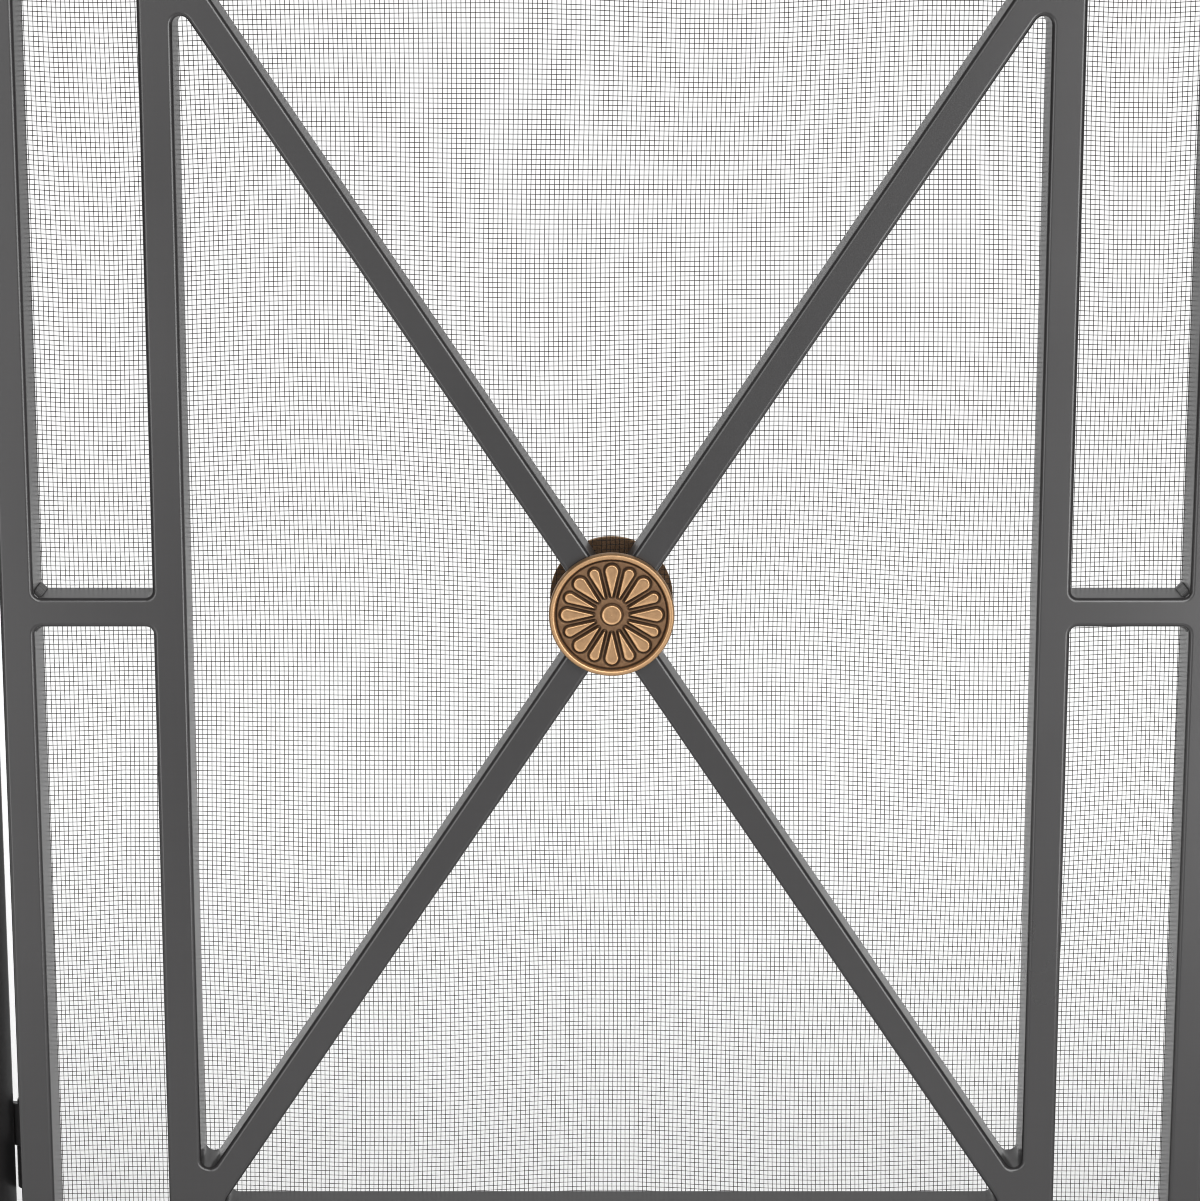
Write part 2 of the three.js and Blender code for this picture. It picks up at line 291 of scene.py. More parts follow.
def piece(name, points, faces, normals=None, turn=Matrix.Identity(4)):
    """A smooth mesh object, with its own normals where they are given."""
    mesh = bpy.data.meshes.new(name)
    mesh.from_pydata([tuple(p) for p in points], [], faces)
    mesh.shade_smooth()
    if normals is not None:
        mesh.normals_split_custom_set_from_vertices([tuple(n) for n in normals])
    mesh.transform(turn)
    return add_object(name, mesh)


def joint_named(name):
    """One joint of the model."""
    return next(j for j in frame["joints"] if j["name"] == name)


def wing_turn(joint_name):
    """Moves a wing's piece from the plane of the centre panel to where it stands at rest."""
    joint = joint_named(joint_name)
    fold = math.radians(-joint["range_deg"][0])
    hinge = Matrix.Translation(Vector(joint["pos_m"]))
    return hinge @ Matrix.Rotation(fold, 4, Vector(joint["axis"])) @ hinge.inverted()


panels = {
    "centre_panel": ("", Matrix.Identity(4)),
    "left_wing": ("left_wing_", wing_turn("left_wing_fold")),
    "right_wing": ("right_wing_", wing_turn("right_wing_fold")),
}


def opened(node, turn):
    """A node's lowest and highest corners with its panel opened flat."""
    back = turn.inverted()
    points = np.array([back @ v.co for v in frame["nodes"][node].data.vertices])
    return Vector(points.min(0)), Vector(points.max(0))


def cross_voids(low, high, bar):
    """The four openings that a corner-to-corner cross of bars leaves in a rectangle."""
    x, z = (low[0] + high[0]) / 2, (low[1] + high[1]) / 2
    w, h = (high[0] - low[0]) / 2, (high[1] - low[1]) / 2
    lean = math.atan2(w, h)
    side = (w * math.cos(lean) - bar / 2) / math.sin(lean)
    top = (h * math.sin(lean) - bar / 2) / math.cos(lean)
    nose_x, nose_z = bar / 2 / math.cos(lean), bar / 2 / math.sin(lean)
    voids = []
    for s in (-1, 1):
        voids.append([(x + s * w, z - side), (x + s * w, z + side), (x + s * nose_x, z)])
        voids.append([(x - top, z + s * h), (x + top, z + s * h), (x, z + s * nose_z)])
    return voids


def bar_nodes(prefix):
    """The CAD bars of one panel."""
    words = ("stile", "rail", "tie", "cross_bar")
    wings = ("left_wing_", "right_wing_")
    own = [n for n in frame["nodes"] if n.startswith(prefix) and (prefix or not n.startswith(wings))]
    return sorted(n for n in own if any(w in n for w in words))


cross_bar = opened("tie_left", Matrix.Identity(4))
cross_bar_width = cross_bar[1].z - cross_bar[0].z
bars_back = cross_bar[1].y


def welded_frame(body):
    """All the bars of one panel as one welded piece."""
    prefix, turn = panels[body]
    bars = bar_nodes(prefix)
    boxes = {n: opened(n, turn) for n in bars}
    stiles = [b for n, b in boxes.items() if "stile" in n and "inner" not in n]
    x0, x1 = min(b[0].x for b in stiles), max(b[1].x for b in stiles)
    z0, z1 = boxes[prefix + "frame_rail_bottom"][0].z, boxes[prefix + "frame_rail_top"][1].z
    bar = z1 - boxes[prefix + "frame_rail_top"][0].z
    bottom, top = boxes[prefix + "inner_rail_bottom"], boxes[prefix + "inner_rail_top"]
    holes = []
    if body == "centre_panel":
        left, right = boxes["inner_stile_left"], boxes["inner_stile_right"]
        tie_x, tie_z = boxes["tie_top"], boxes["tie_left"]
        for xi, xo, xt in ((left[0].x, x0 + bar, tie_x[0].x), (right[1].x, x1 - bar, tie_x[1].x)):
            for zi, zo, zt in ((bottom[0].z, z0 + bar, tie_z[0].z), (top[1].z, z1 - bar, tie_z[1].z)):
                corners = [(xt, zi), (xi, zi), (xi, zt), (xo, zt), (xo, zo), (xt, zo)]
                radii = [weld_fillet, bar_corner] + [weld_fillet] * 4
                holes.append(rounded(corners, radii))
        opening = (left[1].x, bottom[1].z), (right[0].x, top[0].z)
    else:
        for low, high in ((z0 + bar, bottom[0].z), (top[1].z, z1 - bar)):
            corners = [(x0 + bar, low), (x1 - bar, low), (x1 - bar, high), (x0 + bar, high)]
            holes.append(rounded(corners, weld_fillet))
        opening = (x0 + bar, bottom[1].z), (x1 - bar, top[0].z)
    holes += [rounded(v, sharp_fillet) for v in cross_voids(*opening, cross_bar_width)]
    outline = rounded([(x0, z0), (x1, z0), (x1, z1), (x0, z1)], bar_corner)
    made = slab(body + "_frame", outline, holes, bars_front, bars_back, tube_edge, turn)
    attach(made, body)
    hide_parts(*bars)
    return made


def effect(name, inputs, outputs):
    """An empty shader node group with named values in and out."""
    group = bpy.data.node_groups.new(name, "ShaderNodeTree")
    for way, sockets in (("INPUT", inputs), ("OUTPUT", outputs)):
        for label, kind in sockets:
            group.interface.new_socket(label, in_out=way, socket_type="NodeSocket" + kind)
    return group, group.nodes.new("NodeGroupInput"), group.nodes.new("NodeGroupOutput")


def texture(tree, kind, **settings):
    """A texture, Noise or Voronoi, over a piece's own coordinates."""
    place = add_node(tree, "ShaderNodeTexCoord")
    made = add_node(tree, "ShaderNodeTex" + kind, **settings)
    join(tree, (place, "Object", made, "Vector"))
    return made


cloud_roughness = 0.12  # how much rougher the clouds are
speck_height = 0.8  # of the height of the peel
darkest_tone = 0.75  # of the colour, where nothing adds to it


def powder_coat_effect():
    """The fine orange peel, the clouds, the fine streaks and the dust specks of baked powder."""
    group, given, result = effect(
        "powder_coat", [("Colour", "Color"), ("Cloud", "Float"), ("Roughness", "Float")],
        [("Colour", "Color"), ("Roughness", "Float"), ("Height", "Float")])
    cloud = texture(group, "Noise", Scale=6.0, Detail=4.0)
    peel = texture(group, "Noise", Scale=620.0, Detail=1.5)
    speck = texture(group, "Voronoi", Scale=95.0, feature="F1")
    place = add_node(group, "ShaderNodeTexCoord")
    streak = math_node(group, "MULTIPLY")
    for k, stretch in enumerate(((90, 90, 1.5), (1.5, 90, 90))):
        mapping = add_node(group, "ShaderNodeMapping", Scale=stretch)
        lines = add_node(group, "ShaderNodeTexNoise", Scale=7.0, Detail=2.0)
        join(group, (place, "Object", mapping, "Vector"), (mapping, "Vector", lines, "Vector"),
             (lines, "Fac", streak, k))
    blend = math_node(group, "ADD")
    scale = math_node(group, "MULTIPLY_ADD", 1, darkest_tone)
    grey = add_node(group, "ShaderNodeCombineColor")
    tint = add_node(group, "ShaderNodeMix", data_type="RGBA", blend_type="MULTIPLY", Factor=1)
    rough = math_node(group, "MULTIPLY_ADD", cloud_roughness)
    dust = add_node(group, "ShaderNodeMapRange", From_Min=0.02, From_Max=0.05, To_Min=1.0, To_Max=0.0)
    height = math_node(group, "MULTIPLY_ADD", speck_height)
    join(group, (cloud, "Fac", blend, 0), (streak, 0, blend, 1),
         (blend, 0, scale, 0), (given, "Cloud", scale, 1),
         (scale, 0, grey, "Red"), (scale, 0, grey, "Green"), (scale, 0, grey, "Blue"),
         (given, "Colour", tint, "A"), (grey, "Color", tint, "B"), (tint, "Result", result, "Colour"),
         (cloud, "Fac", rough, 0), (given, "Roughness", rough, 2), (rough, 0, result, "Roughness"),
         (speck, "Distance", dust, "Value"), (dust, "Result", height, 0),
         (peel, "Fac", height, 2), (height, 0, result, "Height"))
    return group


powder_coat = powder_coat_effect()

graphite_colour = (0.0190, 0.0180, 0.0184, 1)
graphite_roughness = 0.23
graphite_specular = 0.7
graphite_cloud = 0.34
graphite_peel = 0.05 * MM


def new_material(name, metallic, specular):
    """A material with its shader, ready for its effects."""
    material = bpy.data.materials.new(name)
    material.use_nodes = True
    shader = material.node_tree.nodes["Principled BSDF"]
    shader.inputs["Metallic"].default_value = metallic
    shader.inputs["Specular IOR Level"].default_value = specular
    return material, material.node_tree, shader


def graphite_powder_coat():
    """Nearly black powder coat with a soft gloss."""
    material, tree, shader = new_material("graphite_powder_coat", 0.0, graphite_specular)
    coat = add_node(
        tree, "ShaderNodeGroup", node_tree=powder_coat,
        Colour=graphite_colour, Roughness=graphite_roughness, Cloud=graphite_cloud)
    bump = add_node(tree, "ShaderNodeBump", Strength=0.25, Distance=graphite_peel)
    join(tree, (coat, "Colour", shader, "Base Color"), (coat, "Roughness", shader, "Roughness"),
         (coat, "Height", bump, "Height"), (bump, "Normal", shader, "Normal"))
    return material


graphite = graphite_powder_coat()
for body in panels:
    welded_frame(body).data.materials.append(graphite)


# ---- Weld beads -------------------------------------------------------------------------
# Where a tie, or an inner rail of a wing, meets the outer frame, the weld inside the corner is
# left as the torch laid it: a short bead with ripples, under the same powder coat.

bead_radius = 3.2 * MM
bead_flatness = 0.2  # how much lower the middle of a bead is than a round one
bead_ripple = 0.12 * MM
ripple_length = 1.4 * MM
bead_unevenness = 0.06 * MM
bead_root = 0.5 * MM  # how deep the bead reaches into the bars
bead_inset = 1.3 * MM
bead_taper = 0.5  # how much thinner a bead is at its ends
taper_power = 7  # a high one keeps the taper close to the ends
bead_front, bead_back = bars_front + bead_inset, bars_back - bead_inset
bead_rings = 66
bead_arc = np.radians(np.linspace(-8, 98, 9))


def weld_bead(x, z, to_right, to_top, chance, points, faces):
    """A bead along the depth of a corner. to_right and to_top are 1 or -1, towards its opening."""
    first = len(points)
    count = len(bead_arc) + 1
    for ring in range(bead_rings + 1):
        along = ring / bead_rings
        y = bead_front + (bead_back - bead_front) * along
        ripple = abs(math.sin(math.pi * (y - bead_front) / ripple_length))
        full = bead_radius + bead_ripple * ripple + chance.uniform(-1, 1) * bead_unevenness
        radius = full * (1 - bead_taper * abs(2 * along - 1) ** taper_power)
        points.append((x - to_right * bead_root, y, z - to_top * bead_root))
        for angle in bead_arc:
            reach = radius * (1 - bead_flatness * math.sin(2 * angle) ** 2)
            spot = (x + to_right * reach * math.cos(angle), y, z + to_top * reach * math.sin(angle))
            points.append(spot)
    quads = []
    for ring in range(bead_rings):
        low = first + ring * count
        for k in range(count):
            n = (k + 1) % count
            quads.append((low + k, low + count + k, low + count + n, low + n))
    last = first + bead_rings * count
    ends = [tuple(range(first, first + count)), tuple(range(last + count - 1, last - 1, -1))]
    if to_right * to_top < 0:
        quads = [q[::-1] for q in quads]
        ends = [e[::-1] for e in ends]
    faces += quads + ends


def weld_beads(body):
    """The beads of one panel."""
    prefix, turn = panels[body]
    bottom, top = opened(prefix + "frame_rail_bottom", turn), opened(prefix + "frame_rail_top", turn)
    bar = bottom[1].z - bottom[0].z
    left, right = bottom[0].x + bar, bottom[1].x - bar
    centre = body == "centre_panel"
    lower = opened("tie_left" if centre else prefix + "inner_rail_bottom", turn)
    upper = opened("tie_left" if centre else prefix + "inner_rail_top", turn)
    corners = [(x, z, sx, sz) for x, sx in ((left, 1), (right, -1))
               for z, sz in ((lower[0].z, -1), (upper[1].z, 1))]
    if centre:
        tie = opened("tie_top", turn)
        corners += [(x, z, sx, sz) for x, sx in ((tie[0].x, -1), (tie[1].x, 1))
                    for z, sz in ((bottom[1].z, 1), (top[0].z, -1))]
    chance = np.random.default_rng(len(prefix) + 11)
    points = []
    faces = []
    for corner in corners:
        weld_bead(*corner, chance, points, faces)
    made = piece(body + "_weld_beads", points, faces, None, turn)
    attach(made, body)
    return made


for body in panels:
    weld_beads(body).data.materials.append(graphite)


# ---- Woven wire cloth -------------------------------------------------------------------
# Spark cloth of dark-coated steel wire, about twelve wires to the inch, stretched behind the
# bars by hand, so that the wires wander a little and lean together in soft waves.

wire_radius = 0.149 * MM
pitch_across = 2.17 * MM
pitch_up = 2.28 * MM
wire_wander = 0.045 * MM
wave_across = 1.5 * MM
wave_up = 2.2 * MM
slack_from_edge = 34 * MM
wire_step = 22 * MM  # between two rings of a wire
wire_nesting = 0.8  # of a wire's radius: how far each layer lies from the middle of the cloth
# The waves: radians for each metre across and up, where a wave starts, and its share.
waves_aside = ((17, 9, 0.8, 1.0), (-11, 27, 2.1, 0.6))
waves_up = ((25, -7, 2.4, 1.0), (36, 12, 0.4, 0.5))
wander_waves = (60, 131)  # radians for each metre along a wire


def sum_of_waves(waves, x, z):
    """Their height at a place, which is at most 1."""
    height = sum(share * np.sin(across * x + up * z + start) for across, up, start, share in waves)
    return height / sum(share for *_, share in waves)


def cloth_waves(x, z, low, high):
    """How far the cloth is pulled aside and up at a place. Its edges are held straight."""
    to_edge = np.minimum(np.minimum(x - low.x, high.x - x), np.minimum(z - low.z, high.z - z))
    held = (to_edge / slack_from_edge).clip(0, 1)
    held = held * held * (3 - 2 * held)
    aside = held * wave_across * sum_of_waves(waves_aside, x, z)
    return aside, held * wave_up * sum_of_waves(waves_up, x, z)


def wires(centres, along, radius):
    """Four-sided wires through rows of centres, with their points and faces as arrays. With four
    sides every face has four corners, those at the ends too."""
    count, rings = centres.shape[:2]
    sides = 4
    side = np.arange(sides)
    offsets = np.zeros((sides, 3))
    across = 0 if along == 2 else 2
    for k in side:
        angle = 2 * math.pi * k / sides
        offsets[k, across] = radius * math.cos(angle)
        offsets[k, 1] = radius * math.sin(angle)
    points = (centres[:, :, None, :] + offsets[None, None]).reshape(-1, 3)
    wire = np.arange(count)[:, None] * rings * sides
    ring = wire[:, :, None] + np.arange(rings - 1)[None, :, None] * sides
    here = ring + side
    after = ring + (side + 1) % sides
    quads = np.stack([here, after, after + sides, here + sides], -1).reshape(-1, 4)
    quads = np.concatenate([quads, wire + side[::-1], wire + (rings - 1) * sides + side])
    return points, quads if along == 2 else quads[:, ::-1]


def quad_piece(name, points, quads, turn):
    """A smooth mesh object from arrays of points and four-sided faces."""
    mesh = bpy.data.meshes.new(name)
    mesh.vertices.add(len(points))
    mesh.vertices.foreach_set("co", points.astype(np.float32).ravel())
    mesh.loops.add(quads.size)
    mesh.loops.foreach_set("vertex_index", quads.astype(np.int32).ravel())
    mesh.polygons.add(len(quads))
    mesh.polygons.foreach_set("loop_start", np.arange(0, quads.size, 4, dtype=np.int32))
    mesh.update(calc_edges=True)
    mesh.validate()
    mesh.shade_smooth()
    mesh.transform(turn)
    return add_object(name, mesh)


def wire_cloth(body):
    """The cloth of one panel: upright wires, and level wires close behind them."""
    prefix, turn = panels[body]
    low, high = opened(prefix + "wire_cloth", turn)
    depth = (low.y + high.y) / 2
    chance = np.random.default_rng(len(prefix) + 3)
    points = []
    quads = []
    first = 0
    for along, pitch in ((2, pitch_across), (0, pitch_up)):
        span = (low.x, high.x, low.z, high.z) if along == 2 else (low.z, high.z, low.x, high.x)
        count = round((span[1] - span[0]) / pitch)
        rings = round((span[3] - span[2]) / wire_step) + 1
        rows = np.linspace(span[0] + wire_radius, span[1] - wire_radius, count)
        rows = rows + chance.normal(0, wire_wander, count)
        steps = np.linspace(span[2], span[3], rings)
        row, step = np.meshgrid(rows, steps, indexing="ij")
        phase = chance.uniform(0, 2 * math.pi, (count, 2, 1))
        drift = sum(np.sin(speed * step + phase[:, k]) for k, speed in enumerate(wander_waves))
        x, z = (row, step) if along == 2 else (step, row)
        aside, up = cloth_waves(x, z, low, high)
        moved = wire_wander * drift
        centres = np.empty((count, rings, 3))
        centres[..., 0] = x + aside + moved * (along == 2)
        centres[..., 1] = depth + wire_radius * wire_nesting * (-1 if along == 2 else 1)
        centres[..., 2] = z + up + moved * (along == 0)
        centres[..., 0] = centres[..., 0].clip(low.x + wire_radius, high.x - wire_radius)
        centres[..., 2] = centres[..., 2].clip(low.z + wire_radius, high.z - wire_radius)
        p, q = wires(centres, along, wire_radius)
        points.append(p)
        quads.append(q + first)
        first += len(p)
    made = quad_piece(body + "_woven_wires", np.concatenate(points), np.concatenate(quads), turn)
    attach(made, body)
    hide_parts(prefix + "wire_cloth")
    return made


thick_coating = (0.008, 0.006, 0.005, 1)
thin_coating = (0.030, 0.022, 0.018, 1)
coating_roughness = 0.5
coating_specular = 0.15


def coated_wire():
    """Black-brown coating with thin and thick spots along the wire."""
    material, tree, shader = new_material("coated_wire", 0.0, coating_specular)
    shader.inputs["Roughness"].default_value = coating_roughness
    spots = texture(tree, "Noise", Scale=160.0, Detail=2.0)
    tone = add_node(tree, "ShaderNodeMix", data_type="RGBA", A=thick_coating, B=thin_coating)
    join(tree, (spots, "Fac", tone, "Factor"), (tone, "Result", shader, "Base Color"))
    return material


wire_coat = coated_wire()
for body in panels:
    wire_cloth(body).data.materials.append(wire_coat)


# ---- Strip frames behind the cloth --------------------------------------------------------
# Flat steel strip, spot-welded through the edge of the cloth onto the back of the outer frame,
# and coated with it. Every spot weld leaves a shallow round dimple with a raised ring.

strip_width = 8 * MM
strip_corner = 1 * MM
strip_edge = 0.4 * MM
weld_spacing = 62 * MM
weld_ring_radius = 2.6 * MM
weld_ring_height = 0.35 * MM
weld_ring_sides = 14
# From the dimple's middle outwards: shares of the radius and of the height.
weld_ring_profile = ((0, 0.35), (0.45, 0.4), (0.7, 1.0), (0.85, 0.8), (1.0, -0.4))


def weld_ring(x, z, back, points, faces):
    """A low ring round a dimple, added to points and faces."""
    sides = weld_ring_sides
    middle = len(points)
    points.append((x, back + weld_ring_profile[0][1] * weld_ring_height, z))
    for share, rise in weld_ring_profile[1:]:
        reach = share * weld_ring_radius
        y = back + rise * weld_ring_height
        for k in range(sides):
            angle = 2 * math.pi * k / sides
            points.append((x + reach * math.cos(angle), y, z + reach * math.sin(angle)))
    first = middle + 1
    outermost = first + (len(weld_ring_profile) - 2) * sides
    for k in range(sides):
        after = (k + 1) % sides
        faces.append((middle, first + after, first + k))
        for ring in range(first, outermost, sides):
            faces.append((ring + k, ring + after, ring + sides + after, ring + sides + k))
    faces.append(tuple(outermost + k for k in range(sides)))


def strip_frame(body):
    """The strip frame of one panel, with its row of spot welds."""
    prefix, turn = panels[body]
    low, high = opened(prefix + "cloth_frame", turn)
    outer, inner = [
        rounded([(low.x + inset, low.z + inset), (high.x - inset, low.z + inset),
                 (high.x - inset, high.z - inset), (low.x + inset, high.z - inset)], strip_corner)
        for inset in (0, strip_width)]
    made = slab(body + "_strip_frame", outer, [inner], low.y, high.y, strip_edge, turn)
    points = []
    faces = []
    for along_x, start, end, fixed in (
            (True, low.x, high.x, (low.z, high.z)), (False, low.z, high.z, (low.x, high.x))):
        count = round((end - start) / weld_spacing)
        for k in range(count):
            spot = start + (end - start) * (k + 0.5) / count
            for side, edge in zip((1, -1), fixed):
                level = edge + side * strip_width / 2
                x, z = (spot, level) if along_x else (level, spot)
                weld_ring(x, z, high.y, points, faces)
    welds = piece(body + "_spot_welds", points, faces, None, turn)
    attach(welds, body)
    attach(made, body)
    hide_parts(prefix + "cloth_frame")
    return made, welds


for body in panels:
    for made in strip_frame(body):
        made.data.materials.append(graphite)


# ---- Medallions ---------------------------------------------------------------------------
# A pair of cast discs with a rounded rim, sixteen drop-shaped petals, broad and slim by turns,
# and a button in the middle. They are copper-plated, darkened, and worn bright by rubbing where
# they stand proud. Painted highlights run along the edges of the petals, the inner edge of the
# rim and the lip of the button, and painted shade lies with the patina in the hollows.

petal_pairs = 8
petal_end_radius = (3.15 * MM, 2.4 * MM)
petal_end_reach = (20.9 * MM, 21.3 * MM)
petal_tip_reach = 8.9 * MM
petal_tip_radius = 0.35 * MM
petal_rise = 0.85 * MM
petal_dish = 0.22 * MM
groove_depth = 0.7 * MM
groove_width = 0.45 * MM
groove_from_petal = 0.55 * MM
rim_width = 2.9 * MM
rim_groove_width = 0.42 * MM
button_radius = 4.9 * MM
button_rise = 1.0 * MM
moat_width = 0.3 * MM
moat_depth = 0.5 * MM
field_below_rim = 1.8 * MM
disc_bevel = 0.7 * MM
stud_bore_radius = 3.3 * MM
stud_bore_depth = 3.0 * MM
spokes_per_petal = 24
rings_on_button, rings_on_petals = 22, 86

# How far each part of the relief is worn bright by rubbing, from 0 to 1. The edge values are painted
# highlights as well.
field_bright = 0.06
petal_bright, petal_edge_rub_and_highlight = 0.34, 0.60
rim_bright, rim_edge_rub_and_highlight = 0.50, 0.50
button_bright, button_lip_rub_and_highlight = 0.36, 0.62
# How far the hollows are dark with patina and painted shade. The grooves are wholly dark.
rim_groove_dark = 0.95
moat_dark = 0.85
# The side and the back of the disc. The back is darkened most.
side_bright, side_dark = 0.5, 0.1
back_bright, back_dark = 0.1, 0.72


def smooth_step(low, high, value):
    """Goes from 0 to 1 as value goes from low to high, with soft ends."""
    t = ((value - low) / (high - low)).clip(0, 1)
    return t * t * (3 - 2 * t)


def ridge(value, crest, width):
    """A bell that is 1 where value is at its crest."""
    return np.exp(-((value - crest) / width) ** 2)


def drop_distance(along, across, near, far, near_radius, far_radius):
    """Distance from the edge of a drop with two round ends, negative inside it."""
    length = far - near
    slope = (near_radius - far_radius) / length
    rise = math.sqrt(1 - slope * slope)
    along = along - near
    across = np.abs(across)
    turn = along * rise - across * slope
    at_near = np.hypot(along, across) - near_radius
    at_far = np.hypot(along - length, across) - far_radius
    at_side = across * rise + along * slope - near_radius
    return np.where(turn < 0, at_near, np.where(turn > length * rise, at_far, at_side))


def petal_distance(r, angle):
    """Distance from the edge of the nearest petal, negative on a petal."""
    sector = math.pi / petal_pairs
    nearest = np.floor(angle / sector + 0.5).astype(int)
    distance = np.full(r.shape, 1.0)
    for neighbour in (-1, 0, 1):
        index = nearest + neighbour
        turned_away = angle - index * sector
        along, across = r * np.cos(turned_away), r * np.sin(turned_away)
        for kind in (0, 1):
            drop = drop_distance(along, across, petal_tip_reach, petal_end_reach[kind],
                                 petal_tip_radius, petal_end_radius[kind])
            distance = np.where(index % 2 == kind, np.minimum(distance, drop), distance)
    return distance


def medallion_relief(r, angle, disc_radius, thickness):
    """Height of a disc's face above its back, how far it is worn bright by rubbing, with painted
    highlights along its edges, and how dark it is with patina and painted shade in its hollows.
    The parts blend into each other over a few tenths of a millimetre."""
    field = thickness - field_below_rim
    distance = petal_distance(r, angle)
    petal = 1 - smooth_step(-0.35 * MM, 0.15 * MM, distance)
    # A painted highlight along the edge of each petal, besides the rubbing.
    petal_edge = ridge(distance, -0.42 * MM, 0.26 * MM)
    dished = 1 - smooth_step(-1.4 * MM, -0.5 * MM, distance)
    groove = ridge(distance, groove_from_petal, groove_width) * smooth_step(6.6 * MM, 9.0 * MM, r)
    height = field + petal * petal_rise - dished * petal_dish - groove * groove_depth
    bright = field_bright + petal * petal_bright + petal_edge * petal_edge_rub_and_highlight
    # The grooves round the petals are dark with patina and painted shade.
    dark = groove * (1 - petal)

    gap = disc_radius - rim_width
    # A groove inside the rim, dark with patina and painted shade.
    rim_groove = ridge(r, gap - rim_groove_width, rim_groove_width)
    height = height - rim_groove * groove_depth
    dark = np.maximum(dark, rim_groove * rim_groove_dark)
    across_rim = ((r - gap) / rim_width).clip(0, 1)
    rim = np.sqrt((1 - np.abs(2 * across_rim - 1) ** 3).clip(0, 1))
    on_rim = r > gap
    height = np.where(on_rim, field + (thickness - field) * rim, height)
    # The rim is worn bright, with a painted highlight along its inner edge.
    rim_rub_and_highlight = rim_bright + rim_edge_rub_and_highlight * ridge(across_rim, 0.14, 0.18)
    bright = np.where(on_rim, rim_rub_and_highlight, bright)
    dark = np.where(on_rim, 0, dark)

    button = 1 - smooth_step(button_radius - 0.5 * MM, button_radius + 0.05 * MM, r)
    # The lip round the button carries a painted highlight. The moat round it is dark with patina and
    # painted shade.
    lip = ridge(r, button_radius - 0.65 * MM, 0.38 * MM)
    moat = ridge(r, button_radius + 0.35 * MM, moat_width)
    on_button = r < button_radius + 0.05 * MM
    on_top = field + button * button_rise + lip * petal_dish
    height = np.where(on_button, on_top, height - moat * moat_depth)
    bright = np.where(on_button, button * button_bright + lip * button_lip_rub_and_highlight, bright)
    dark = np.where(on_button, 0, np.maximum(dark, moat * moat_dark))
    return height, bright.clip(0, 1), dark.clip(0, 1)


def medallion(node, facing):
    """One disc. facing is -1 where it faces the front and 1 where it faces the back."""
    low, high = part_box(node)
    radius = (high.x - low.x) / 2
    thickness = high.y - low.y
    centre = (low + high) / 2
    back = high.y if facing < 0 else low.y
    spokes = 2 * petal_pairs * spokes_per_petal
    angle = np.arange(spokes) * 2 * math.pi / spokes
    reach = np.concatenate([np.linspace(0.4 * MM, 7 * MM, rings_on_button),
                            np.linspace(7.2 * MM, radius, rings_on_petals)])
    r, a = np.meshgrid(reach, angle, indexing="ij")
    height, bright, dark = medallion_relief(r, a, radius, thickness)
    # Down the side, round the bevel, across the back and into the bore for the stud.
    rest = [(radius, 0.55 * (height[-1, 0])), (radius, disc_bevel), (radius - disc_bevel, 0),
            (radius * 0.5, 0), (stud_bore_radius, 0), (stud_bore_radius, stud_bore_depth)]
    for ring_radius, ring_height in rest:
        raised = ring_height > 0
        r = np.vstack([r, np.full(spokes, ring_radius)])
        a = np.vstack([a, angle])
        height = np.vstack([height, np.full(spokes, ring_height)])
        bright = np.vstack([bright, np.full(spokes, side_bright if raised else back_bright)])
        dark = np.vstack([dark, np.full(spokes, side_dark if raised else back_dark)])
    rings = r.shape[0]
    points = np.stack([centre.x + r * np.sin(a), back + facing * height, centre.z + r * np.cos(a)], -1)
    front_middle = (centre.x, back + facing * float(height[0].mean()), centre.z)
    bore_middle = (centre.x, back + facing * stud_bore_depth, centre.z)
    points = np.concatenate([points.reshape(-1, 3), [front_middle, bore_middle]])
    k = np.arange(spokes)
    after = (k + 1) % spokes
    ring = (np.arange(rings - 1) * spokes)[:, None]
    quads = np.stack([ring + k, ring + after, ring + spokes + after, ring + spokes + k], -1).reshape(-1, 4)
    faces = [tuple(q) for q in quads]
    hub, bore = rings * spokes, rings * spokes + 1
    last = (rings - 1) * spokes
    faces += [(hub, int(b), int(c)) for b, c in zip(after, k)]
    faces += [(bore, int(last + b), int(last + c)) for b, c in zip(k, after)]
    if facing > 0:
        faces = [f[::-1] for f in faces]
    made = piece(node.replace("medallion", "rosette"), points, faces)
    # The last two points are the middles of the button and of the bore.
    for label, values, ends in (("bright", bright, (0.55, 0)), ("dark", dark, (0, 1))):
        layer = made.data.attributes.new(label, "FLOAT", "POINT")
        layer.data.foreach_set("value", np.concatenate([values.ravel(), ends]).astype(np.float32))
    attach(made, "centre_panel")
    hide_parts(node)
    return made


# Darkened copper, copper worn bare, which also colours the painted highlights, and the dark patina, which
# also colours the painted shade in the hollows.
darkened_copper = (0.120, 0.067, 0.036, 1)
rubbed_and_highlight_copper = (0.62, 0.380, 0.195, 1)
patina_and_shade_colour = (0.020, 0.011, 0.006, 1)
mottle_share = 0.34  # how much the mottling adds to the rubbing or takes from it


